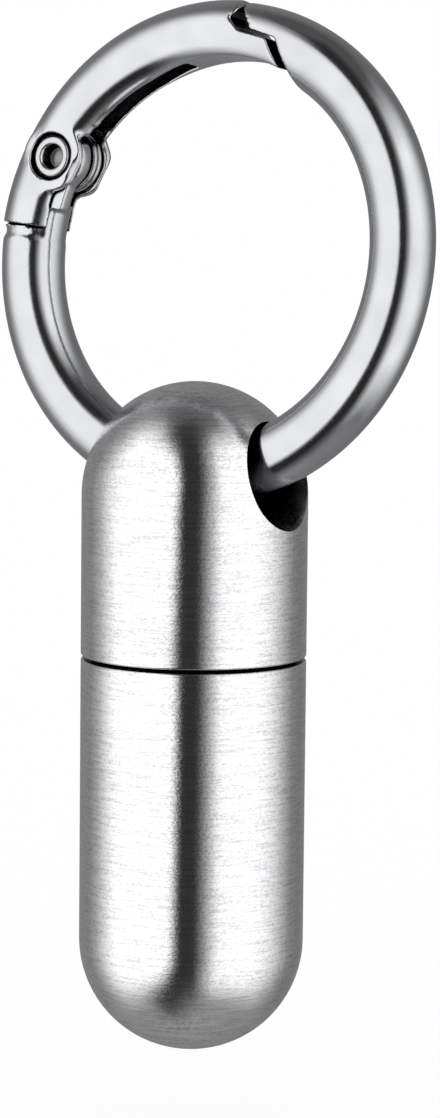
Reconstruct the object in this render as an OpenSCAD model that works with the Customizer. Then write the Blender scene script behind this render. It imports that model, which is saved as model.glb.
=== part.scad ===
// Pill fob: a steel capsule in two screwed halves, hung by a cross hole on a ring with a sprung gate.
// Z is up and the capsule hangs along it. The origin is inside the top of the ring, where the fob hangs.

/* [Capsule] */
// Outside diameter of the capsule
capsule_d = 14; // [13:0.5:20]
// Height of the lower shell, from its round end to its shoulder
body_h = 24.55; // [16:0.05:40]
// Height of the upper shell, from its rim to the top of its dome
cap_h = 16.95; // [15.5:0.05:24]
// Gap between rim and shoulder, in which the seal shows
seam_gap = 0.3; // [0.2:0.05:0.5]
// Chamfer on both edges of the seam
edge_chamfer = 0.25; // [0.1:0.05:0.5]
// Diameter of the store inside
bore_d = 9.4; // [6:0.1:9.6]
// Thickness of the lower shell at its round end
floor_t = 1.8; // [1:0.1:3]

/* [Screwed neck] */
// Height of the neck above the shoulder
neck_h = 6; // [5:0.1:7]
// Thickness of the neck's wall under the thread
neck_wall = 0.6; // [0.5:0.05:0.8]
// Rise of the thread in one turn
pitch = 1; // [0.8:0.1:1.2]
// Height of the thread's ridge
ridge_h = 0.4; // [0.3:0.05:0.45]
// Radial room between the two threads
thread_room = 0.12; // [0.1:0.01:0.2]
// Thickness of the seal
seal_d = 1; // [0.8:0.05:1.1]
// Room round the seal
seal_room = 0.03; // [0.02:0.01:0.06]
// Metal left between the cross hole and the cap's cavity
web_t = 1.15; // [0.8:0.05:2]

/* [Cross hole] */
// Diameter of the hole that the ring passes through
hole_d = 6.2; // [6.1:0.05:7]
// Depth of the hole's axis under the top of the dome
hole_drop = 5.35; // [5:0.05:7]
// Widening of the hole at each mouth
mouth_flare = 0.3; // [0.1:0.05:0.5]

/* [Ring] */
// Outside diameter of the ring
ring_od = 31; // [29:0.5:40]
// Thickness of the ring's wire
wire_d = 4; // [3.8:0.1:4.1]
// Lean of the ring from upright
ring_lean = 8; // [0:1:20]
// Height of the swing axis over the hole's axis
swing_rise = 0.5; // [0.3:0.05:0.7]
// Depth of the wire's lowest centre under the swing axis
swing_drop = 0.7; // [0.6:0.05:0.9]
// Place of the ring's shoulder under the gate, in degrees back from the top
shoulder_at = 88.3; // [87.5:0.1:95]
// Place of the neck's end inside the gate
neck_end_at = 76.8; // [76:0.1:78]
// Thickness of the tongue that carries the rivet
tongue_t = 1; // [0.8:0.05:1.1]
// Depth that the collar between shoulder and tail is turned down
collar_cut = 0.15; // [0.1:0.01:0.3]

/* [Gate] */
// Thickness of the gate across its round back
gate_d = 4.24; // [4.1:0.02:4.4]
// Thickness of the gate's back
gate_wall = 0.45; // [0.4:0.01:0.5]
// Width of the gate over its two cheeks
cheek_w = 3.8; // [3.6:0.05:3.9]
// Width of the slot between the cheeks at the rivet
slot_w = 2.5; // [2.4:0.05:2.7]
// Width of the slot near the nose
slot_nose_w = 1.7; // [1.4:0.05:2]
// Place of the slot's end, in degrees back from the top
slot_end_at = 13; // [8:1:25]
// Place of the gate's tail, in degrees back from the top
tail_at = 84.8; // [83:0.1:86]
// Distance of the rivet inside the middle of the wire
hinge_inset = 0.75; // [0.6:0.05:0.9]
// Place of the rivet, in degrees back from the top
hinge_at = 64.4; // [62:0.1:66]
// Radius of the lobes round the rivet
lobe_r = 2.2; // [2:0.05:2.3]
// Gap between the faces of the lap at the nose
lap_gap = 0.45; // [0.35:0.05:0.6]

/* [Rivet and spring] */
// Diameter of the rivet's shank
rivet_d = 1.7; // [1.4:0.05:1.9]
// Diameter of the rivet's heads
head_d = 2.6; // [2.3:0.05:2.8]
// Thickness of each head
head_t = 0.35; // [0.3:0.01:0.4]
// Diameter of the blind bore in the rivet's near end
rivet_bore_d = 1.4; // [1:0.05:1.45]
// Depth of that bore
rivet_bore_l = 0.95; // [0.6:0.05:1.4]
// Running clearance of the gate round the rivet
pin_room = 0.04; // [0.03:0.01:0.08]
// Room round each head in its counterbore
head_room = 0.2; // [0.15:0.05:0.3]
// Thickness of the spring's wire
spring_wire = 0.3; // [0.25:0.01:0.34]
// Radius of the spring's coil at the middle of its wire
coil_r = 1.55; // [1.4:0.05:1.6]
// Rise of the coil in one turn
coil_pitch = 0.74; // [0.72:0.01:0.76]
// Straight length of the free leg before its hook
leg_l = 0.8; // [0.6:0.05:0.9]
// Radius of the hook that presses on the gate
hook_r = 0.45; // [0.4:0.01:0.5]

/* [Hidden] */
$fn = 96;

overlap = 0.2;
capsule_r = capsule_d / 2;
ring_r = (ring_od - wire_d) / 2;
wire_r = wire_d / 2;
gate_r = gate_d / 2;

// Heights in the capsule, from its lowest point
rim_z = body_h + seam_gap;
top_z = rim_z + cap_h;
hole_z = top_z - hole_drop;
neck_r = bore_d / 2 + neck_wall;
crest_r = neck_r + ridge_h;
cap_bore_r = crest_r + thread_room;
cavity_top_z = hole_z - hole_d / 2 - web_t;
// The neck's ridge starts clear of the seal, and the cap's lies half a turn over it
run_out = 0.8;
neck_root = 2;
ridge_z = body_h + seal_d + run_out;
neck_halves = floor(2 * (neck_h - seal_d - 1.5 * run_out) / pitch);
cap_halves = neck_halves + 1;
ridge_root = 0.8;
ridge_crest = 0.3;

// Ring plane: u to the right, v up, w towards the viewer, angles turned back from the top
function on_ring(rho, back) = [-rho * sin(back), rho * cos(back)];
hinge_rho = ring_r - hinge_inset;
hinge_uv = on_ring(hinge_rho, hinge_at);
// Height of the ring's middle over the swing axis, in the ring's plane
swing_v = swing_drop - ring_r;
// Rise of the hanging point over the ring's middle
hang_v = ring_r - wire_r;
through = 2 * wire_d;

// Nose of the ring, as steps down its left side: across, and out from the middle of the wire
nose_steps = [[-2, 2.7], [0.6, 2.7], [2.45, 0.08], [4.28, -0.45], [5.7, -3.7], [-2, -3.7]];
// End of the gate, as steps down its right side
end_steps = [[0.42, 2.7], [1.3, 1.4], [1.2, 1.1], [0.85, 0.8], [1.6, 0.1 - lap_gap], [3.45, -0.27 - lap_gap],
    [4.15, -2.6], [4.5, -3.5], [10, -3.5], [10, 2.7]];
// Radius of the cut along the gate's inner edge, and the place of its middle
edge_cut_r = ring_r - wire_r - 1;
edge_cut_shift = [1.62, -20];
gate_overrun = 25;
slot_depth = wire_r + 3.3;
lobe_reach = 15;
slot_corner = 0.3;
slot_back_rho = ring_r + gate_r - gate_wall - 0.07;
slot_step_at = 55.5;
slot_step = 0.15;
slot_open = 3;
collar_gap = 0.4;
neck_inset = 0.05;
neck_back_room = 0.35;
lobe_round = 3.1;
tongue_gap = 0.05;
tongue_land = 0.4;
tongue_inset = 0.2;
tongue_w0 = slot_w / 2 - tongue_gap - tongue_t;
head_seat_w = 1.5;

// Spring: farthest turn, and the place on the coil where the free leg leaves
spring_far_w = -0.95;
leg_at = 15;
coil_start = hinge_at - neck_end_at;
coil_end = 360 + leg_at;
hook_gap = 0.05;

steel = [0.72, 0.72, 0.73];
bright = [0.55, 0.56, 0.58];
dark_rubber = [0.06, 0.06, 0.07];

// Puts what is drawn in the ring's plane, with its middle at the origin, in its leaning place
module in_ring() {
    rotate([-ring_lean, 0, 0]) translate([0, 0, -hang_v]) rotate([90, 0, 0]) children();
}

// Puts what is drawn upright from the capsule's lowest point in its hanging place
module in_capsule() {
    drop = hang_v - swing_v;
    translate([0, -drop * sin(ring_lean), -drop * cos(ring_lean) - swing_rise - hole_z]) children();
}

// Part of a round bar bent to the ring's circle, between two angles turned back from the top
module bar(r, from, to) {
    rotate([0, 0, 90 + from]) rotate_extrude(angle = to - from) translate([ring_r, 0]) circle(r, $fn = 48);
}

// Part of a flat band of the ring's plane, half as wide as w to each side
module band(rho_a, rho_b, from, to, w) {
    translate([0, 0, -w])
        rotate([0, 0, 90 + from]) rotate_extrude(angle = to - from) translate([rho_a, 0]) square([rho_b - rho_a, 2 * w]);
}

// Thread ridge made of half rings, each leaning by the thread's angle: radii and half widths at root and crest
module ridge(root_r, tip_r, root_w, tip_w, halves) {
    lean = asin(pitch / 2 / (root_r + tip_r));
    join = 1;
    for (i = [0 : halves - 1]) translate([0, 0, pitch * i / 2]) rotate([0, i % 2 == 0 ? lean : -lean, 0])
        rotate([0, 0, 180 * i - join]) rotate_extrude(angle = 180 + 2 * join)
            polygon([[root_r, -root_w], [tip_r, -tip_w], [tip_r, tip_w], [root_r, root_w]]);
}

module capsule_body() {
    inner_r = bore_d / 2;
    color(steel) union() {
        difference() {
            union() {
                rotate_extrude() intersection() {
                    union() {
                        translate([0, capsule_r]) circle(capsule_r);
                        translate([0, capsule_r]) square([capsule_r, body_h - capsule_r - edge_chamfer]);
                        translate([0, body_h - edge_chamfer]) polygon([[0, 0], [capsule_r, 0],
                            [capsule_r - edge_chamfer, edge_chamfer], [0, edge_chamfer]]);
                    }
                    square([capsule_r, body_h]);
                }
                translate([0, 0, body_h - neck_root]) cylinder(h = neck_root + neck_h, r = neck_r);
            }
            translate([0, 0, floor_t + inner_r]) cylinder(h = top_z, r = inner_r);
            translate([0, 0, floor_t + inner_r]) sphere(inner_r);
        }
        translate([0, 0, ridge_z])
            ridge(neck_r - overlap, crest_r, ridge_h * ridge_root, ridge_h * ridge_crest, neck_halves);
    }
}

module seal_ring() {
    ring_mid = neck_r + seal_room + seal_d / 2;
    color(dark_rubber) translate([0, 0, body_h + seal_room + seal_d / 2])
        rotate_extrude() translate([ring_mid, 0]) circle(seal_d / 2, $fn = 32);
}

module capsule_cap() {
    seat_r = neck_r + seal_d + 2 * seal_room;
    seat_h = seal_d + 2 * seal_room - seam_gap;
    dome_z = top_z - capsule_r;
    thread_top = body_h + neck_h + pitch;
    color(steel) union() {
        difference() {
            rotate_extrude() intersection() {
                union() {
                    translate([0, dome_z]) circle(capsule_r);
                    translate([0, rim_z + edge_chamfer]) square([capsule_r, dome_z - rim_z - edge_chamfer]);
                    translate([0, rim_z]) polygon([[0, 0], [capsule_r - edge_chamfer, 0],
                        [capsule_r, edge_chamfer], [0, edge_chamfer]]);
                }
                translate([0, rim_z]) square([capsule_r, cap_h]);
            }
            translate([0, 0, rim_z - overlap]) cylinder(h = thread_top - rim_z + overlap, r = cap_bore_r);
            translate([0, 0, rim_z - overlap]) cylinder(h = seat_h + overlap, r = seat_r);
            translate([0, 0, thread_top - overlap])
                cylinder(h = cavity_top_z - thread_top + overlap, r = bore_d / 2);
            translate([0, 0, hole_z]) rotate([0, 90, 0]) cylinder(h = 2 * capsule_d, d = hole_d, center = true);
            for (side = [-1, 1]) translate([side * capsule_r, 0, hole_z]) rotate([0, -side * 90, 0])
                cylinder(h = capsule_r * 0.3, d1 = hole_d + 2 * mouth_flare, d2 = hole_d);
        }
        translate([0, 0, ridge_z + pitch / 2]) ridge(cap_bore_r + overlap, neck_r + thread_room,
            ridge_h * ridge_root, ridge_h * ridge_crest, cap_halves);
    }
}

// Full-thickness cut of the ring's plane along a list of steps
module lap_cut(steps) {
    translate([0, 0, -through / 2]) linear_extrude(through) polygon([for (p = steps) [p[0], ring_r + p[1]]]);
}

module ring_frame() {
    color(bright) in_ring() difference() {
        union() {
            difference() {
                bar(wire_r, shoulder_at, 362);
                lap_cut(nose_steps);
            }
            bar(wire_r - collar_cut, tail_at + collar_gap, shoulder_at + 1);
            // Flat neck inside the gate's tail
            intersection() {
                bar(wire_r - neck_inset, neck_end_at, shoulder_at + 1.5);
                band(ring_r - wire_r - 1, slot_back_rho - neck_back_room, neck_end_at - 1, shoulder_at + 2,
                    slot_w / 2 - tongue_gap);
            }
            // Tongue that carries the rivet
            translate([0, 0, tongue_w0]) {
                translate(hinge_uv) cylinder(h = tongue_t, r = lobe_r - tongue_inset);
                rotate([0, 0, 90 + hinge_at - 3]) rotate_extrude(angle = neck_end_at - hinge_at + 5)
                    translate([ring_r - wire_r - tongue_land, 0])
                        square([hinge_rho - ring_r + wire_r + tongue_land, tongue_t]);
                rotate([0, 0, 90 + hinge_at]) rotate_extrude(angle = neck_end_at - hinge_at + 2)
                    translate([hinge_rho - 0.5, 0]) square([ring_r + 1.6 - hinge_rho, tongue_t]);
            }
        }
        translate([hinge_uv[0], hinge_uv[1], -wire_d]) cylinder(h = through, d = rivet_d + 0.02);
    }
}

// Channel along the gate, as wide as w to each side, with its back at rho and chamfered corners
module channel(back_rho, from, to, w, corner) {
    rotate([0, 0, 90 + from]) rotate_extrude(angle = to - from)
        polygon([[ring_r - wire_r - slot_open, -w], [back_rho - corner, -w], [back_rho, corner - w],
            [back_rho, w - corner], [back_rho - corner, w], [ring_r - wire_r - slot_open, w]]);
}

module gate() {
    color(bright) in_ring() difference() {
        union() {
            difference() {
                bar(gate_r, -gate_overrun, tail_at);
                lap_cut(end_steps);
            }
            intersection() {
                translate([hinge_uv[0], hinge_uv[1], -cheek_w / 2]) cylinder(h = cheek_w, r = lobe_r);
                bar(lobe_round, hinge_at - lobe_reach, hinge_at + lobe_reach);
            }
        }
        band(ring_r - slot_depth, slot_back_rho - slot_step, slot_end_at, slot_step_at + 1, slot_nose_w / 2);
        channel(slot_back_rho, slot_step_at - 1, tail_at + 2, slot_w / 2, slot_corner);
        translate([hinge_uv[0], hinge_uv[1], -wire_d]) cylinder(h = through, d = rivet_d + 2 * pin_room);
        for (side = [-1, 1]) translate([hinge_uv[0], hinge_uv[1], side * (head_seat_w + wire_d / 2)])
            cylinder(h = wire_d, d = head_d + 2 * head_room, center = true);
        // The inner edge is cut to a circle of its own
        translate([0, 0, -through / 2]) translate(on_ring(edge_cut_shift[0], edge_cut_shift[1]))
            cylinder(h = through, r = edge_cut_r);
    }
}

module hinge_rivet() {
    seat_w = head_seat_w + 0.02;
    color(steel) in_ring() translate([hinge_uv[0], hinge_uv[1], 0]) difference() {
        union() {
            cylinder(h = 2 * seat_w + head_t, d = rivet_d, center = true);
            for (side = [-1, 1]) translate([0, 0, side * (seat_w + head_t / 2)])
                cylinder(h = head_t, d = head_d, center = true);
        }
        translate([0, 0, seat_w + head_t - rivet_bore_l]) cylinder(h = rivet_bore_l + 1, d = rivet_bore_d);
    }
}

// Route of the spring from the neck's end, once round the rivet and out to the gate's back, in the ring's plane
function spring_route(coil_steps, hook_steps) = let (
        rise = coil_pitch / 360,
        coil = [for (i = [0 : coil_steps]) let (a = coil_start + (coil_end - coil_start) * i / coil_steps)
            [coil_r * cos(a), coil_r * sin(a), spring_far_w + rise * (a - coil_start)]],
        top_w = spring_far_w + rise * (coil_end - coil_start),
        foot = [coil[0][0] - hinge_rho * sin(-coil_start) * sin(-coil_start),
            coil[0][1] - hinge_rho * sin(-coil_start) * cos(coil_start), spring_far_w],
        bend = coil[coil_steps] + leg_l * [-sin(leg_at), cos(leg_at), 0],
        aim = atan2(bend[1] + 1.25 * hook_r, hinge_rho + bend[0] + 0.84 * hook_r),
        hook = [for (i = [0 : hook_steps]) let (a = 90 + leg_at - (90 + leg_at - aim) * i / hook_steps)
            bend + hook_r * [cos(leg_at) - sin(a), sin(leg_at) + cos(a), 0]],
        tip_rho = norm([hinge_rho + hook[hook_steps][0], hook[hook_steps][1]]),
        tip = hook[hook_steps] + (slot_back_rho - hook_gap - tip_rho) * [cos(aim), sin(aim), 0])
    [for (p = concat([foot], coil, hook, [tip]))
        [hinge_uv[0] - p[0] * sin(hinge_at) + p[1] * cos(hinge_at),
            hinge_uv[1] + p[0] * cos(hinge_at) + p[1] * sin(hinge_at), p[2]]];

function unit(v) = v / norm(v);

module gate_spring() {
    sides = 6;
    route = spring_route(9, 3);
    last = len(route) - 1;
    points = [for (i = [0 : last]) let (
            along = unit(route[min(i + 1, last)] - route[max(i - 1, 0)]),
            across = unit(cross(along, [0, 0, 1])),
            up = cross(across, along))
        for (k = [0 : sides - 1]) route[i] + spring_wire / 2 * (cos(60 * k) * across + sin(60 * k) * up)];
    walls = [for (i = [0 : last - 1], k = [0 : sides - 1]) let (n = (k + 1) % sides)
        [sides * i + k, sides * i + n, sides * (i + 1) + n, sides * (i + 1) + k]];
    color(steel) in_ring() polyhedron(points, concat(walls,
        [[for (k = [sides - 1 : -1 : 0]) k], [for (k = [0 : sides - 1]) sides * last + k]]));
    fine = spring_route(72, 12);
    echo(least_gap = min([for (i = [0 : len(fine) - 1], j = [0 : len(fine) - 1])
        if (j - i > 30) norm(fine[i] - fine[j])]) - spring_wire);
}

in_capsule() capsule_cap();
in_capsule() capsule_body();
in_capsule() seal_ring();
ring_frame();
gate();
hinge_rivet();
gate_spring();
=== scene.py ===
import math

import bmesh
import bpy
from mathutils import Matrix, Vector


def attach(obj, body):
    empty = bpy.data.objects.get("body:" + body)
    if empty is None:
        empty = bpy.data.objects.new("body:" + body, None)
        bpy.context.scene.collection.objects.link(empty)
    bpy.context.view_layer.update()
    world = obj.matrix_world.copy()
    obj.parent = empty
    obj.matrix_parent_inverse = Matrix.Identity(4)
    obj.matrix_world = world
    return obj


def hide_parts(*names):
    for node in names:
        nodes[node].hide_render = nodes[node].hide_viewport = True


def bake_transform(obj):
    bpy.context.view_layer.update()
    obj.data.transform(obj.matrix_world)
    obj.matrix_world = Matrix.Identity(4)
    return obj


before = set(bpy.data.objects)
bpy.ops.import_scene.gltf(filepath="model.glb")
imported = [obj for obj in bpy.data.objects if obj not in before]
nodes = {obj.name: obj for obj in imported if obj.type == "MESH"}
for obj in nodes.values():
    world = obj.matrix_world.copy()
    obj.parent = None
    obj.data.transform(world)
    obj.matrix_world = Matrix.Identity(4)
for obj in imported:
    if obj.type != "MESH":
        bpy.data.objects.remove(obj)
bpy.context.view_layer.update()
mm = 0.001


def linearColor(hexText):
    channels = [int(hexText[i : i + 2], 16) / 255 for i in (1, 3, 5)]
    return [c / 12.92 if c <= 0.04045 else ((c + 0.055) / 1.055) ** 2.4 for c in channels] + [1]


def addNode(tree, kind, settings=None, inputs=None, links=None):
    node = tree.nodes.new(kind)
    for name, value in (settings or {}).items():
        setattr(node, name, value)
    for name, value in (inputs or {}).items():
        node.inputs[name].default_value = value
    for name, socket in (links or {}).items():
        tree.links.new(socket, node.inputs[name])
    return node


def newMaterial(name):
    material = bpy.data.materials.new(name)
    material.use_nodes = True
    material.node_tree.nodes.clear()
    return material, material.node_tree


def finishMaterial(tree, shader):
    output = addNode(tree, "ShaderNodeOutputMaterial")
    tree.links.new(shader, output.inputs["Surface"])


noiseSpread = {"From Min": 0.3, "From Max": 0.7}  # noise hardly leaves this range
openSpread = {"From Min": 0.25, "From Max": 0.75}  # from shut in to open


def paintedRecessShade(tree, look, unshadedColor):  # painted shade: gaps, slots and bores darken towards near-black where the surroundings close in
    reach = {"Distance": look["recessShadeMm"] * mm}
    openness = addNode(tree, "ShaderNodeAmbientOcclusion", {"samples": 8}, reach)
    smooth = {"interpolation_type": "SMOOTHSTEP"}
    unshadedShare = addNode(tree, "ShaderNodeMapRange", smooth, openSpread, {"Value": openness.outputs["AO"]})
    recessShaded = addNode(
        tree, "ShaderNodeMix", {"data_type": "RGBA"}, links={"Factor": unshadedShare.outputs["Result"]}
    )
    recessShaded.inputs[6].default_value = linearColor(look["recessShadeColor"])
    tree.links.new(unshadedColor, recessShaded.inputs[7])
    return recessShaded.outputs[2]


# Brushed stainless steel: turned and brushed round the capsule, so highlights spread up and down
brushedSteelLook = {
    "color": "#f2f2f3",
    "streakColor": "#cdcdd0",
    # painted shade: the near-black laid into gaps and bores, and how far the darkening reaches
    "recessShadeColor": "#0e0e0f",
    "recessShadeMm": 4,
    "lineMm": 0.13,  # spacing of the brush lines, coarser than real so that they show
    "streakMm": 2.2,  # length of one line round the capsule
    "streakFrom": 0.2,  # grain where the streak's colour begins, and where it is full
    "streakTo": 0.36,
    "speckMm": 0.22,
    "speckStretch": 1.3,
    "lineDepthMm": 0.0016,
    "speckDepthMm": 0.007,
    "roughLow": 0.12,
    "roughHigh": 0.22,
    "spread": 0.95,
}


def makeBrushedSteel(name, look):
    material, tree = newMaterial(name)
    place = addNode(tree, "ShaderNodeTexCoord").outputs["Object"]
    perStreak, perLine, perSpeck = (1 / mm / look[size] for size in ("streakMm", "lineMm", "speckMm"))
    lines = addNode(
        tree,
        "ShaderNodeMapping",
        inputs={"Scale": (perStreak, perStreak, perLine)},
        links={"Vector": place},
    )
    specks = addNode(
        tree,
        "ShaderNodeMapping",
        inputs={"Scale": (perSpeck, perSpeck, perLine * look["speckStretch"])},
        links={"Vector": place},
    )
    lineNoise = addNode(
        tree,
        "ShaderNodeTexNoise",
        inputs={"Scale": 1.0, "Detail": 3.0, "Roughness": 0.6},
        links={"Vector": lines.outputs["Vector"]},
    )
    speckNoise = addNode(
        tree,
        "ShaderNodeTexNoise",
        inputs={"Scale": 1.0, "Detail": 2.0, "Roughness": 0.7},
        links={"Vector": specks.outputs["Vector"]},
    )
    lineBump = addNode(
        tree,
        "ShaderNodeBump",
        inputs={"Strength": 1.0, "Distance": look["lineDepthMm"] * mm},
        links={"Height": lineNoise.outputs["Fac"]},
    )
    bump = addNode(
        tree,
        "ShaderNodeBump",
        inputs={"Strength": 1.0, "Distance": look["speckDepthMm"] * mm},
        links={"Height": speckNoise.outputs["Fac"], "Normal": lineBump.outputs["Normal"]},
    )
    rough = addNode(
        tree,
        "ShaderNodeMapRange",
        inputs={**noiseSpread, "To Min": look["roughLow"], "To Max": look["roughHigh"]},
        links={"Value": speckNoise.outputs["Fac"]},
    )
    streaks = addNode(
        tree,
        "ShaderNodeMath",
        {"operation": "MULTIPLY"},
        links={0: lineNoise.outputs["Fac"], 1: speckNoise.outputs["Fac"]},
    )
    grain = addNode(
        tree,
        "ShaderNodeMapRange",
        inputs={"From Min": look["streakFrom"], "From Max": look["streakTo"]},
        links={"Value": streaks.outputs[0]},
    )
    tint = addNode(
        tree, "ShaderNodeMix", {"data_type": "RGBA"}, links={"Factor": grain.outputs["Result"]}
    )
    tint.inputs[6].default_value = linearColor(look["color"])
    tint.inputs[7].default_value = linearColor(look["streakColor"])
    upward = addNode(tree, "ShaderNodeCombineXYZ", inputs={"Z": 1.0})  # along the capsule
    # the base colour carries painted shade in gaps and bores
    shader = addNode(
        tree,
        "ShaderNodeBsdfPrincipled",
        inputs={"Metallic": 1.0, "Anisotropic": look["spread"]},
        links={
            "Base Color": paintedRecessShade(tree, look, tint.outputs[2]),
            "Roughness": rough.outputs["Result"],
            "Normal": bump.outputs["Normal"],
            "Tangent": upward.outputs[0],
        },
    )
    finishMaterial(tree, shader.outputs["BSDF"])
    return material


# Nickel plating over cast zinc, satin polished: soft mirror with faint waves of the casting
satinPlatingLook = {
    "color": "#d4d5d7",
    "wearColor": "#bebfc2",
    # painted shade: the near-black laid into gaps and bores, and how far the darkening reaches
    "recessShadeColor": "#131315",
    "recessShadeMm": 1.6,
    "waveMm": 2.5,
    "grainMm": 0.12,
    "waveDepthMm": 0.006,
    "grainDepthMm": 0.0004,
    "roughLow": 0.1,
    "roughHigh": 0.17,
}
# Semi-tubular rivet: turned steel, rolled over bright
rivetLook = dict(
    satinPlatingLook,
    color="#d2d2d3",
    wearColor="#bcbcbe",
    waveDepthMm=0.003,
    roughLow=0.12,
    roughHigh=0.22,
)
# Music wire: drawn bright, a little duller than the rivet
springLook = dict(rivetLook, color="#c4c4c2")


def makeSatinPlating(name, look):
    material, tree = newMaterial(name)
    place = addNode(tree, "ShaderNodeTexCoord").outputs["Object"]
    waves = addNode(
        tree,
        "ShaderNodeTexNoise",
        inputs={"Scale": 1 / (look["waveMm"] * mm), "Detail": 1.0},
        links={"Vector": place},
    )
    grain = addNode(
        tree,
        "ShaderNodeTexNoise",
        inputs={"Scale": 1 / (look["grainMm"] * mm), "Detail": 2.0},
        links={"Vector": place},
    )
    waveBump = addNode(
        tree,
        "ShaderNodeBump",
        inputs={"Strength": 1.0, "Distance": look["waveDepthMm"] * mm},
        links={"Height": waves.outputs["Fac"]},
    )
    grainBump = addNode(
        tree,
        "ShaderNodeBump",
        inputs={"Strength": 1.0, "Distance": look["grainDepthMm"] * mm},
        links={"Height": grain.outputs["Fac"], "Normal": waveBump.outputs["Normal"]},
    )
    rough = addNode(
        tree,
        "ShaderNodeMapRange",
        inputs={**noiseSpread, "To Min": look["roughLow"], "To Max": look["roughHigh"]},
        links={"Value": grain.outputs["Fac"]},
    )
    tint = addNode(tree, "ShaderNodeMix", {"data_type": "RGBA"}, links={"Factor": waves.outputs["Fac"]})
    tint.inputs[6].default_value = linearColor(look["color"])
    tint.inputs[7].default_value = linearColor(look["wearColor"])
    # the base colour carries painted shade in gaps and bores
    shader = addNode(
        tree,
        "ShaderNodeBsdfPrincipled",
        inputs={"Metallic": 1.0},
        links={
            "Base Color": paintedRecessShade(tree, look, tint.outputs[2]),
            "Roughness": rough.outputs["Result"],
            "Normal": grainBump.outputs["Normal"],
        },
    )
    finishMaterial(tree, shader.outputs["BSDF"])
    return material


# Nitrile rubber: moulded, matt and black
rubberLook = {
    "color": "#1b1b1c",
    "grainMm": 0.2,
    "depthMm": 0.004,
    "roughLow": 0.56,
    "roughHigh": 0.68,
}


def makeRubber(name, look):
    material, tree = newMaterial(name)
    place = addNode(tree, "ShaderNodeTexCoord").outputs["Object"]
    grain = addNode(
        tree,
        "ShaderNodeTexNoise",
        inputs={"Scale": 1 / (look["grainMm"] * mm), "Detail": 2.0},
        links={"Vector": place},
    )
    bump = addNode(
        tree,
        "ShaderNodeBump",
        inputs={"Strength": 1.0, "Distance": look["depthMm"] * mm},
        links={"Height": grain.outputs["Fac"]},
    )
    rough = addNode(
        tree,
        "ShaderNodeMapRange",
        inputs={"To Min": look["roughLow"], "To Max": look["roughHigh"]},
        links={"Value": grain.outputs["Fac"]},
    )
    shader = addNode(
        tree,
        "ShaderNodeBsdfPrincipled",
        inputs={"Base Color": linearColor(look["color"])},
        links={"Roughness": rough.outputs["Result"], "Normal": bump.outputs["Normal"]},
    )
    finishMaterial(tree, shader.outputs["BSDF"])
    return material


brushedSteel = makeBrushedSteel("brushedStainless", brushedSteelLook)
satinPlating = makeSatinPlating("satinNickelPlating", satinPlatingLook)
rivetSteel = makeSatinPlating("turnedRivetSteel", rivetLook)
springSteel = makeSatinPlating("drawnSpringWire", springLook)
nitrileRubber = makeRubber("nitrileRubber", rubberLook)
print("materials made")

# Where things are: the capsule's foot, the ring's middle and lean, and the hinge in the ring's plane
capsuleFootMm = (0, -3.382, -61.013)
ringMiddleMm = -11.5
leanDeg = 8
hingeAt = (12.75, 64.4)  # mm from the ring's middle, and degrees back from its top
capsulePlace = Matrix.Translation(Vector(capsuleFootMm) * mm)
ringPlace = (
    Matrix.Rotation(math.radians(-leanDeg), 4, "X")
    @ Matrix.Translation((0, 0, ringMiddleMm * mm))
    @ Matrix.Rotation(math.radians(90), 4, "X")
)


def backFromTop(rho, degrees):  # a point of the ring's plane, turned back from its top
    turn = math.radians(degrees)
    return Vector((-rho * math.sin(turn), rho * math.cos(turn), 0)) * mm


def turnBy(mesh, degrees, axis):
    matrix = Matrix.Rotation(math.radians(degrees), 3, axis)
    bmesh.ops.rotate(mesh, verts=mesh.verts, cent=(0, 0, 0), matrix=matrix)


def shiftBy(mesh, offset):
    bmesh.ops.translate(mesh, verts=mesh.verts, vec=offset)


def closeEnds(mesh):
    bmesh.ops.holes_fill(mesh, edges=[e for e in mesh.edges if e.is_boundary], sides=0)


def faceOutwards(mesh):
    bmesh.ops.recalc_face_normals(mesh, faces=mesh.faces)


def extrudeBy(mesh, faces, offset):
    raised = bmesh.ops.extrude_face_region(mesh, geom=faces)["geom"]
    corners = [v for v in raised if isinstance(v, bmesh.types.BMVert)]
    bmesh.ops.translate(mesh, verts=corners, vec=offset)
    return [f for f in raised if isinstance(f, bmesh.types.BMFace)]


def objectFrom(name, mesh):
    data = bpy.data.meshes.new(name)
    mesh.to_mesh(data)
    made = bpy.data.objects.new(name, data)
    bpy.context.scene.collection.objects.link(made)
    return made


def removeObject(made):
    data = made.data
    bpy.data.objects.remove(made)
    bpy.data.meshes.remove(data)


def keepPiece(name, mesh, material, body, nodeName, sharpDeg=34):
    piece = objectFrom(name, mesh)
    mesh.free()
    piece.data.shade_smooth()
    piece.data.set_sharp_from_angle(angle=math.radians(sharpDeg))
    piece.data.materials.append(material)
    if body:
        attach(piece, body)
    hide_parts(nodeName)
    return piece


def spinSection(corners, rounds, steps):
    mesh = bmesh.new()
    points = [mesh.verts.new((r * mm, 0, z * mm)) for r, z in corners]
    mesh.faces.new(points)
    for corner, (radius, segments) in rounds.items():
        bmesh.ops.bevel(
            mesh,
            geom=[points[corner]],
            offset=radius * mm,
            offset_type="OFFSET",
            segments=segments,
            profile=0.5,
            affect="VERTICES",
            material=-1,
            clamp_overlap=False,
        )
    bmesh.ops.delete(mesh, geom=mesh.faces[:], context="FACES_ONLY")
    onAxis = [e for e in mesh.edges if all(abs(v.co.x) < 1e-7 for v in e.verts)]
    bmesh.ops.delete(mesh, geom=onAxis, context="EDGES")
    bmesh.ops.spin(
        mesh,
        geom=mesh.verts[:] + mesh.edges[:],
        cent=(0, 0, 0),
        axis=(0, 0, 1),
        angle=math.tau,
        steps=steps,
        use_merge=True,
    )
    bmesh.ops.remove_doubles(mesh, verts=mesh.verts, dist=1e-6)
    faceOutwards(mesh)
    return mesh


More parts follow.
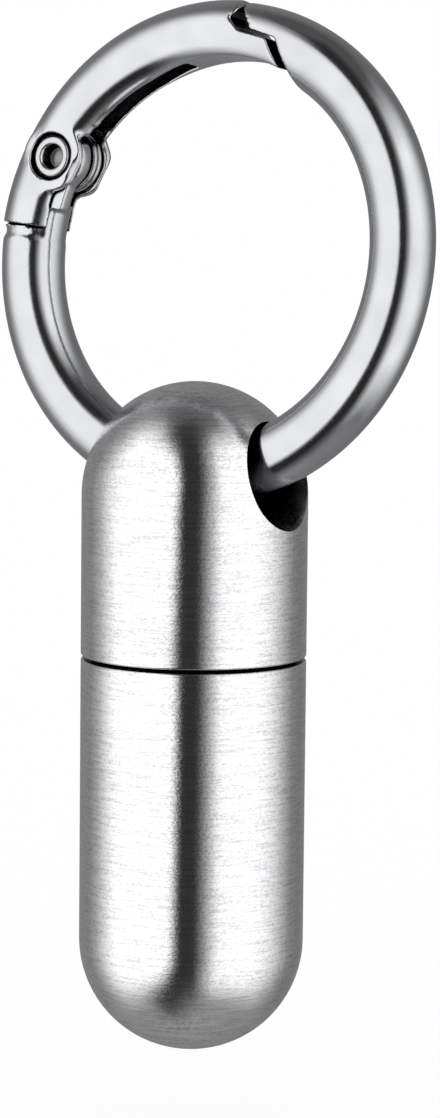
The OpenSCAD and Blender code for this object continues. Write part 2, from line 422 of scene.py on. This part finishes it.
def evaluated(mesh, addModifiers):
    work = objectFrom("working", mesh)
    addModifiers(work)
    shaped = work.evaluated_get(bpy.context.evaluated_depsgraph_get())
    mesh.clear()
    mesh.from_mesh(shaped.to_mesh())
    shaped.to_mesh_clear()
    removeObject(work)
    return mesh


def combine(mesh, other, operation="DIFFERENCE"):
    tool = objectFrom("tool", other)
    other.free()

    def addBoolean(work):
        step = work.modifiers.new("step", "BOOLEAN")
        step.object, step.operation, step.solver = tool, operation, "MANIFOLD"

    evaluated(mesh, addBoolean)
    removeObject(tool)
    return mesh


screw = {"pitchMm": 1.0, "steps": 60}  # one millimetre for each turn


def addThread(mesh, thread):
    coil = bmesh.new()
    points = [coil.verts.new((r * mm, 0, z * mm)) for r, z in thread["section"]]
    bmesh.ops.spin(
        coil,
        geom=[coil.faces.new(points)],
        cent=(0, 0, 0),
        axis=(0, 0, 1),
        dvec=(0, 0, screw["pitchMm"] * mm / screw["steps"]),
        angle=math.tau * thread["turns"],
        steps=round(thread["turns"] * screw["steps"]),
    )
    closeEnds(coil)
    shiftBy(coil, (0, 0, thread["fromMm"] * mm))
    faceOutwards(coil)
    joined = bpy.data.meshes.new("joined")
    coil.to_mesh(joined)
    coil.free()
    mesh.from_mesh(joined)
    bpy.data.meshes.remove(joined)


# Sections are (radius, height) in mm; rounds give a corner's radius and segments
shellSides = 144
lowerShell = {
    "section": [
        (0, 0), (7, 0), (7, 24.6), (5.3, 24.6), (5.3, 30.55), (4.7, 30.55), (4.7, 1.8), (0, 1.8),
    ],
    "rounds": {1: (6.9995, 40), 2: (0.15, 4), 4: (0.25, 3), 5: (0.1, 2), 6: (4.6995, 20)},
    "thread": {
        "section": [(5.1, -0.32), (5.7, -0.12), (5.7, 0.12), (5.1, 0.32)],
        "turns": 3.4,
        "fromMm": 26.1,
    },
}
upperShell = {
    "section": [
        (0, 41.8), (7, 41.8), (7, 24.81), (6.36, 24.81), (6.36, 25.61),
        (5.82, 25.61), (5.82, 31.55), (4.7, 31.55), (4.7, 32.2), (0, 32.2),
    ],
    "rounds": {1: (6.9995, 40), 2: (0.15, 4)},
    "thread": {
        "section": [(6.0, -0.32), (5.42, -0.12), (5.42, 0.12), (6.0, 0.32)],
        "turns": 3.9,
        "fromMm": 26.6,
    },
    # the cross hole: its height, and its section with a mouth that widens at both ends
    "holeAtMm": 36.45,
    "holeSides": 96,
    "holeSection": [
        (0, -9), (4.3, -9), (3.4, -6.95), (3.1, -5.0), (3.1, 5.0), (3.4, 6.95), (4.3, 9), (0, 9),
    ],
    "holeRounds": {2: (0.6, 4), 3: (0.8, 5), 4: (0.8, 5), 5: (0.6, 4)},
}


def makeLowerShell(settings):
    mesh = spinSection(settings["section"], settings["rounds"], shellSides)
    addThread(mesh, settings["thread"])
    mesh.transform(capsulePlace)
    keepPiece("lowerShell", mesh, brushedSteel, "body", "capsule_body")


def makeUpperShell(settings):
    mesh = spinSection(settings["section"], settings["rounds"], shellSides)
    hole = spinSection(settings["holeSection"], settings["holeRounds"], settings["holeSides"])
    turnBy(hole, 90, "Y")
    shiftBy(hole, (0, 0, settings["holeAtMm"] * mm))
    combine(mesh, hole)
    addThread(mesh, settings["thread"])
    mesh.transform(capsulePlace)
    keepPiece("upperShell", mesh, brushedSteel, "cap", "capsule_cap")


rivet = {
    # from the far head round to the rolled rim and down the bore
    "section": [
        (0, -1.87), (1.3, -1.87), (1.3, -1.52), (0.85, -1.52), (0.85, 1.52), (1.3, 1.52),
        (1.3, 1.87), (0.86, 1.87), (0.7, 1.6), (0.7, 0.92), (0, 0.92),
    ],
    "rounds": {1: (0.2, 4), 5: (0.06, 2), 6: (0.22, 6), 7: (0.12, 4), 9: (0.12, 3)},
    "sides": 64,
}


def makeRivet(settings):
    mesh = spinSection(settings["section"], settings["rounds"], settings["sides"])
    shiftBy(mesh, backFromTop(*hingeAt))
    mesh.transform(ringPlace)
    keepPiece("hingeRivet", mesh, rivetSteel, "ring", "hinge_rivet")


# Zinc castings, drawn in the ring's plane: across, up and towards the eye. Angles run back from
# the ring's top, and flat bars have sections of (distance from the ring's middle, height over its
# plane). Every drum is given as radius, low end and high end.
throughMm = 4  # cuts reach this far to both sides of the plane
casting = {"barSides": 80, "barStepDeg": 0.8, "flatStepDeg": 1.5, "drumSides": 96}
castRing = {
    "ringMm": 13.5,  # from the ring's middle to the middle of its bar
    "bar": (2.0, 85.2, 362),
    "nose": [(-2, 2.7), (0.6, 2.7), (2.45, 0.08), (4.28, -0.45), (5.7, -3.7), (-2, -3.7)],
    "cove": (0.48, 0.18, 86.9),  # hollow round the bar under the gate's tail: radius, depth, place
    "coveSides": 24,
    "neck": (1.95, 76.8, 89.8),
    "neckFlats": ([(10.5, -1.2), (14.75, -1.2), (14.75, 1.2), (10.5, 1.2)], 75.8, 90.3),
    "eye": (2.0, 0.2, 1.2),
    "tongue": [
        ([(11.1, 0.2), (12.75, 0.2), (12.75, 1.2), (11.1, 1.2)], 61.4, 78.8),
        ([(12.25, 0.2), (15.1, 0.2), (15.1, 1.2), (12.25, 1.2)], 64.4, 78.8),
    ],
    "rivetHoleMm": 0.86,
    "skinMm": 0.12,
    "rounding": 4,
}
castGate = {
    "bar": (2.12, -25, 84.8),
    "end": [
        (0.42, 2.7), (1.3, 1.4), (1.2, 1.1), (0.9, 0.8), (1.75, -0.05),
        (3.75, -0.5), (4.65, -2.4), (5.0, -3.5), (10, -3.5), (10, 2.7),
    ],
    "lobe": (2.2, -1.9, 1.9),
    "lobeLimit": (3.1, 49.4, 79.4),
    "slot": ([(8.2, -0.85), (14.95, -0.85), (14.95, 0.85), (8.2, 0.85)], 13, 56.5),
    "channel": (
        [(8.5, -1.25), (14.8, -1.25), (15.1, -0.95), (15.1, 0.95), (14.8, 1.25), (8.5, 1.25)],
        54.5, 86.8,
    ),
    "rivetHoleMm": 0.89,
    "counterbores": [(1.5, 1.5, 5), (1.5, -5, -1.5)],
    "innerCut": (10.5, (1.62, -20)),  # levels the gate's inner side: radius, and where its middle is
    "innerCutSides": 192,
    "skinMm": 0.086,
    "rounding": 5,
    "blending": 30,  # extra rounds of smoothing on the cheeks round the hinge
    "blendMm": (1.7, 3.3),
    "cheekMm": 0.8,
}


def spinAlong(mesh, fromDeg, toDeg, stepDeg):
    turnBy(mesh, 90 + fromDeg, "Z")
    bmesh.ops.spin(
        mesh,
        geom=mesh.faces[:],
        cent=(0, 0, 0),
        axis=(0, 0, 1),
        angle=math.radians(toDeg - fromDeg),
        steps=max(2, round((toDeg - fromDeg) / stepDeg)),
    )
    closeEnds(mesh)
    faceOutwards(mesh)
    return mesh


def roundBar(radius, fromDeg, toDeg):
    mesh = bmesh.new()
    sides = casting["barSides"]
    bmesh.ops.create_circle(mesh, cap_ends=True, segments=sides, radius=radius * mm)
    turnBy(mesh, 90, "X")
    shiftBy(mesh, (castRing["ringMm"] * mm, 0, 0))
    return spinAlong(mesh, fromDeg, toDeg, casting["barStepDeg"])


def flatBar(section, fromDeg, toDeg):
    mesh = bmesh.new()
    mesh.faces.new([mesh.verts.new((rho * mm, 0, w * mm)) for rho, w in section])
    return spinAlong(mesh, fromDeg, toDeg, casting["flatStepDeg"])


def endPlate(outline):  # an outline over the bar's middle at the ring's top, cut right through
    mesh = bmesh.new()
    low = -throughMm * mm
    points = [mesh.verts.new((u * mm, (v + castRing["ringMm"]) * mm, low)) for u, v in outline]
    extrudeBy(mesh, [mesh.faces.new(points)], (0, 0, 2 * throughMm * mm))
    faceOutwards(mesh)
    return mesh


def drum(at, radius, low, high, sides=casting["drumSides"]):
    mesh = bmesh.new()
    bmesh.ops.create_cone(
        mesh,
        cap_ends=True,
        segments=sides,
        radius1=radius * mm,
        radius2=radius * mm,
        depth=(high - low) * mm,
    )
    shiftBy(mesh, at + Vector((0, 0, (low + high) / 2 * mm)))
    return mesh


def coveRound(radius, depth, atDeg):
    mesh = bmesh.new()
    middle = castRing["ringMm"]
    barRadius = castRing["bar"][0]
    bmesh.ops.create_circle(mesh, segments=castRing["coveSides"], radius=radius * mm)
    shiftBy(mesh, ((middle + barRadius + radius - depth) * mm, 0, 0))
    bmesh.ops.spin(
        mesh,
        geom=mesh.verts[:] + mesh.edges[:],
        cent=(middle * mm, 0, 0),
        axis=(0, 1, 0),
        angle=math.tau,
        steps=casting["drumSides"],
        use_merge=True,
    )
    turnBy(mesh, 90 + atDeg, "Z")
    faceOutwards(mesh)
    return mesh


def smooth(mesh, corners, rounds):
    for _ in range(rounds):
        bmesh.ops.smooth_vert(
            mesh, verts=corners, factor=0.5, use_axis_x=True, use_axis_y=True, use_axis_z=True
        )


def castSkin(mesh, settings):  # one even skin, with every edge rounded as a casting's is
    def addRemesh(work):
        skin = work.modifiers.new("skin", "REMESH")
        skin.mode, skin.voxel_size = "VOXEL", settings["skinMm"] * mm

    evaluated(mesh, addRemesh)
    smooth(mesh, mesh.verts, settings["rounding"])


def makeRing(settings):
    hinge = backFromTop(*hingeAt)
    mesh = roundBar(*settings["bar"])
    combine(mesh, endPlate(settings["nose"]))
    combine(mesh, coveRound(*settings["cove"]))
    neck = roundBar(*settings["neck"])
    combine(neck, flatBar(*settings["neckFlats"]), "INTERSECT")
    combine(mesh, neck, "UNION")
    tongue = drum(hinge, *settings["eye"])
    for bar in settings["tongue"]:
        combine(tongue, flatBar(*bar), "UNION")
    combine(mesh, tongue, "UNION")
    combine(mesh, drum(hinge, settings["rivetHoleMm"], -throughMm, throughMm))
    castSkin(mesh, settings)
    mesh.transform(ringPlace)
    keepPiece("ringBar", mesh, satinPlating, "ring", "ring_frame", 180)


def makeGate(settings):
    hinge = backFromTop(*hingeAt)
    mesh = roundBar(*settings["bar"])
    combine(mesh, endPlate(settings["end"]))
    lobe = drum(hinge, *settings["lobe"])
    combine(lobe, roundBar(*settings["lobeLimit"]), "INTERSECT")
    combine(mesh, lobe, "UNION")
    combine(mesh, flatBar(*settings["slot"]))
    combine(mesh, flatBar(*settings["channel"]))
    combine(mesh, drum(hinge, settings["rivetHoleMm"], -throughMm, throughMm))
    for counterbore in settings["counterbores"]:
        combine(mesh, drum(hinge, *counterbore))
    cutRadius, cutAt = settings["innerCut"]
    cutPlace = backFromTop(*cutAt)
    combine(mesh, drum(cutPlace, cutRadius, -throughMm, throughMm, settings["innerCutSides"]))
    castSkin(mesh, settings)
    inner, outer = (distance * mm for distance in settings["blendMm"])
    cheeks = [v for v in mesh.verts if abs(v.co.z) > settings["cheekMm"] * mm]
    around = [v for v in cheeks if inner < (v.co.xy - hinge.xy).length < outer]
    smooth(mesh, around, settings["blending"])
    mesh.transform(ringPlace)
    keepPiece("gateBar", mesh, satinPlating, "gate", "gate", 180)


# Torsion spring: from the neck's end, twice round the rivet and out along the back of the slot
torsionSpring = {
    "wireMm": 0.2,
    "wireSides": 16,
    "coilMm": 1.8,
    "pitchMm": 0.44,
    "farMm": -1.0,  # height of the first turn over the ring's plane
    "startDeg": -12.4,
    "turnDeg": 732.4,
    "stepDeg": 10,
    "footMm": 2.7,
    "legMm": 2.8,
    "blendDeg": (71, 57),  # the wire goes over from ring to gate between these angles
}


def makeSpring(settings):
    mesh = bmesh.new()
    wire = {"segments": settings["wireSides"], "radius": settings["wireMm"] * mm}
    bmesh.ops.create_circle(mesh, cap_ends=True, **wire)
    turnBy(mesh, 90, "X")
    shiftBy(mesh, Vector((settings["coilMm"], -settings["footMm"], settings["farMm"])) * mm)
    foot = extrudeBy(mesh, mesh.faces[:], (0, settings["footMm"] * mm, 0))
    steps = round(settings["turnDeg"] / settings["stepDeg"])
    endTurn = math.radians(settings["turnDeg"])
    coil = bmesh.ops.spin(
        mesh,
        geom=foot,
        cent=(0, 0, 0),
        axis=(0, 0, 1),
        dvec=(0, 0, settings["pitchMm"] * mm * settings["turnDeg"] / 360 / steps),
        angle=endTurn,
        steps=steps,
    )["geom_last"]
    coilEnd = [f for f in coil if isinstance(f, bmesh.types.BMFace)]
    onward = Vector((-math.sin(endTurn), math.cos(endTurn), 0))
    extrudeBy(mesh, coilEnd, onward * settings["legMm"] * mm)
    inside = [f for f in mesh.faces if all(len(e.link_faces) > 2 for e in f.edges)]
    bmesh.ops.delete(mesh, geom=inside, context="FACES_ONLY")
    closeEnds(mesh)
    turnBy(mesh, settings["startDeg"], "Z")
    lean = math.radians(hingeAt[1])
    outward = Matrix((
        (-math.sin(lean), math.cos(lean), 0),
        (math.cos(lean), math.sin(lean), 0),
        (0, 0, 1),
    )).to_4x4()
    mesh.transform(ringPlace @ Matrix.Translation(backFromTop(*hingeAt)) @ outward)
    faceOutwards(mesh)
    spring = keepPiece("torsionSpring", mesh, springSteel, None, "gate_spring")
    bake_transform(spring)


makeLowerShell(lowerShell)
makeUpperShell(upperShell)
makeRivet(rivet)
makeRing(castRing)
makeGate(castGate)
makeSpring(torsionSpring)
nodes["seal_ring"].data.materials.clear()
nodes["seal_ring"].data.materials.append(nitrileRubber)
print("pieces made")

studio = {
    "cameraAt": (141.02, -218.84, 0.14),
    "lookAt": (1.90, -2.16, -32.64),
    "rollDeg": 0.59,
    "sensorMm": 36,
    "lensMm": 134.96,
    "shift": (-0.0094, 0.0350),
    "floorMm": -67.7,  # where the lower shell comes down to when it is screwed off
    "floorSizeM": 5.0,
    "floorColor": "#f2f2f2",
    "floorGlow": 0.6,  # lifts the floor to white where it is seen, and keeps the shadow on it
    "roomLight": 0.45,
    "cameraTurnDeg": 32.7,  # softboxes and flags are set out from here
    # degrees round, and brightness there
    "round": [
        (-180, 0.24), (-128, 0.25), (-112, 0.45), (-99, 0.85), (-86, 1.24), (-74, 1.37),
        (-22, 1.37), (-14, 1.2), (-8, 0.04), (3, 0.04), (9, 0.5), (18, 0.85), (27, 1.15),
        (38, 1.3), (64, 1.37), (82, 1.1), (94, 0.83), (106, 0.5), (121, 0.25), (140, 0.2),
        (180, 0.24),
    ],
    # degrees up, brightness there, and how far it takes over from the ring of softboxes
    "up": [
        (-90, 0.34, 1.0), (-56, 0.26, 1.0), (-30, 0.3, 0.0),
        (44, 0.16, 0.0), (70, 0.11, 1.0), (90, 0.12, 1.0),
    ],
    # a curved black flag: its centre round and up, its brightness, and its share by degrees away
    # from that centre and by degrees round
    "flag": {
        "centre": (-66, 6),
        "level": 0.03,
        "away": [(0, 0), (46, 0), (55, 1), (70, 1), (94, 0), (180, 0)],
        "around": [(-180, 0), (-70, 0), (-45, 1), (22, 1), (45, 0), (180, 0)],
    },
}


def makeCamera(settings):
    place = Vector(settings["cameraAt"]) * mm
    forward = (Vector(settings["lookAt"]) * mm - place).normalized()
    right = forward.cross(Vector((0, 0, 1))).normalized()
    up = right.cross(forward)
    roll = math.radians(settings["rollDeg"])
    rolledRight = right * math.cos(roll) + up * math.sin(roll)
    rolledUp = up * math.cos(roll) - right * math.sin(roll)
    facing = Matrix((rolledRight, rolledUp, -forward)).transposed().to_4x4()
    camera = bpy.data.objects.new("camera", bpy.data.cameras.new("camera"))
    bpy.context.scene.collection.objects.link(camera)
    camera.matrix_world = Matrix.Translation(place) @ facing
    camera.data.sensor_width = settings["sensorMm"]
    camera.data.lens = settings["lensMm"]
    camera.data.shift_x, camera.data.shift_y = settings["shift"]
    camera.data.clip_start = 0.01
    bpy.context.scene.camera = camera


def makeFloor(settings):
    mesh = bmesh.new()
    bmesh.ops.create_grid(mesh, x_segments=1, y_segments=1, size=settings["floorSizeM"])
    shiftBy(mesh, (0, 0, settings["floorMm"] * mm))
    floor = objectFrom("floor", mesh)
    mesh.free()
    material, tree = newMaterial("whiteMattFloor")
    rays = addNode(tree, "ShaderNodeLightPath").outputs
    larger = {"operation": "MAXIMUM"}
    either = addNode(
        tree, "ShaderNodeMath", larger, links={0: rays["Is Camera Ray"], 1: rays["Is Glossy Ray"]}
    )
    seen = addNode(
        tree, "ShaderNodeMath", larger, links={0: either.outputs[0], 1: rays["Is Transmission Ray"]}
    )
    white = addNode(tree, "ShaderNodeEmission", inputs={"Strength": settings["floorGlow"]})
    paint = {"Color": linearColor(settings["floorColor"])}
    matt = addNode(tree, "ShaderNodeBsdfDiffuse", inputs=paint)
    lit = addNode(tree, "ShaderNodeAddShader", links={0: white.outputs[0], 1: matt.outputs[0]})
    ground = addNode(
        tree,
        "ShaderNodeMixShader",
        links={0: seen.outputs[0], 1: matt.outputs[0], 2: lit.outputs[0]},
    )
    finishMaterial(tree, ground.outputs[0])
    floor.data.materials.append(material)
    floor.visible_glossy = False


def rampOf(tree, angle, low, high, stops):  # brightness or share by an angle in degrees
    span = {"From Min": math.radians(low), "From Max": math.radians(high)}
    share = addNode(tree, "ShaderNodeMapRange", inputs=span, links={"Value": angle})
    ramp = addNode(tree, "ShaderNodeValToRGB", links={"Fac": share.outputs["Result"]})
    elements = ramp.color_ramp.elements
    elements[0].position, elements[1].position = 0, 1
    strongest = max(level for _, level in stops)  # a ramp's colours stop at 1, so it is scaled
    for degrees, level in stops:
        at = (degrees - low) / (high - low)
        if at == 0:
            stop = elements[0]
        elif at == 1:
            stop = elements[-1]
        else:
            stop = elements.new(at)
        stop.color = [level / strongest] * 3 + [1]
    scale = {"operation": "SCALE"}
    factor = {"Scale": strongest}
    return addNode(tree, "ShaderNodeVectorMath", scale, factor, {0: ramp.outputs["Color"]}).outputs[0]


def addFlag(tree, flag, towards, around, boxes):
    side, rise = (math.radians(angle) for angle in flag["centre"])
    centre = (math.sin(side) * math.cos(rise), -math.cos(side) * math.cos(rise), math.sin(rise))
    dot = {"operation": "DOT_PRODUCT"}
    near = addNode(tree, "ShaderNodeVectorMath", dot, {1: centre}, {0: towards})
    away = addNode(
        tree, "ShaderNodeMath", {"operation": "ARCCOSINE"}, links={0: near.outputs["Value"]}
    )
    arc = rampOf(tree, away.outputs[0], 0, 180, flag["away"])
    span = rampOf(tree, around, -180, 180, flag["around"])
    shaded = addNode(tree, "ShaderNodeMath", {"operation": "MULTIPLY"}, links={0: arc, 1: span})
    flagged = addNode(
        tree, "ShaderNodeMix", {"data_type": "RGBA"}, links={"Factor": shaded.outputs[0]}
    )
    tree.links.new(boxes, flagged.inputs[6])
    flagged.inputs[7].default_value = [flag["level"]] * 3 + [1]
    return flagged.outputs[2]


def makeWorld(settings):  # only reflections see the softboxes and flags
    world = bpy.data.worlds.new("studio")
    bpy.context.scene.world = world
    world.use_nodes = True
    tree = world.node_tree
    tree.nodes.clear()
    towards = addNode(
        tree,
        "ShaderNodeVectorRotate",
        {"rotation_type": "Z_AXIS"},
        {"Angle": math.radians(-settings["cameraTurnDeg"])},
        {"Vector": addNode(tree, "ShaderNodeTexCoord").outputs["Generated"]},
    ).outputs[0]
    parts = addNode(tree, "ShaderNodeSeparateXYZ", links={0: towards}).outputs
    nearer = addNode(tree, "ShaderNodeMath", {"operation": "MULTIPLY"}, {1: -1.0}, {0: parts["Y"]})
    around = addNode(
        tree,
        "ShaderNodeMath",
        {"operation": "ARCTAN2"},
        links={0: parts["X"], 1: nearer.outputs[0]},
    ).outputs[0]
    above = addNode(tree, "ShaderNodeMath", {"operation": "ARCSINE"}, links={0: parts["Z"]}).outputs[0]
    sides = rampOf(tree, around, -180, 180, settings["round"])
    upper = rampOf(tree, above, -90, 90, [(at, level) for at, level, _ in settings["up"]])
    takesOver = rampOf(tree, above, -90, 90, [(at, share) for at, _, share in settings["up"]])
    boxes = addNode(tree, "ShaderNodeMix", {"data_type": "RGBA"}, links={"Factor": takesOver})
    tree.links.new(sides, boxes.inputs[6])
    tree.links.new(upper, boxes.inputs[7])
    flagged = addFlag(tree, settings["flag"], towards, around, boxes.outputs[2])
    white = addNode(tree, "ShaderNodeBackground", inputs={"Color": (1, 1, 1, 1), "Strength": 1.0})
    room = {"Color": (1, 1, 1, 1), "Strength": settings["roomLight"]}
    plain = addNode(tree, "ShaderNodeBackground", inputs=room)
    mirrored = addNode(
        tree, "ShaderNodeBackground", inputs={"Strength": 1.0}, links={"Color": flagged}
    )
    rays = addNode(tree, "ShaderNodeLightPath").outputs
    clear = addNode(
        tree,
        "ShaderNodeMath",
        {"operation": "MAXIMUM"},
        links={0: rays["Is Camera Ray"], 1: rays["Is Transmission Ray"]},
    )
    seen = addNode(
        tree,
        "ShaderNodeMixShader",
        links={0: rays["Is Glossy Ray"], 1: plain.outputs[0], 2: mirrored.outputs[0]},
    )
    mixed = addNode(
        tree,
        "ShaderNodeMixShader",
        links={0: clear.outputs[0], 1: seen.outputs[0], 2: white.outputs[0]},
    )
    output = addNode(tree, "ShaderNodeOutputWorld")
    tree.links.new(mixed.outputs[0], output.inputs["Surface"])


makeCamera(studio)
makeFloor(studio)
makeWorld(studio)
bpy.context.scene.view_settings.view_transform = "Standard"
print("studio made")
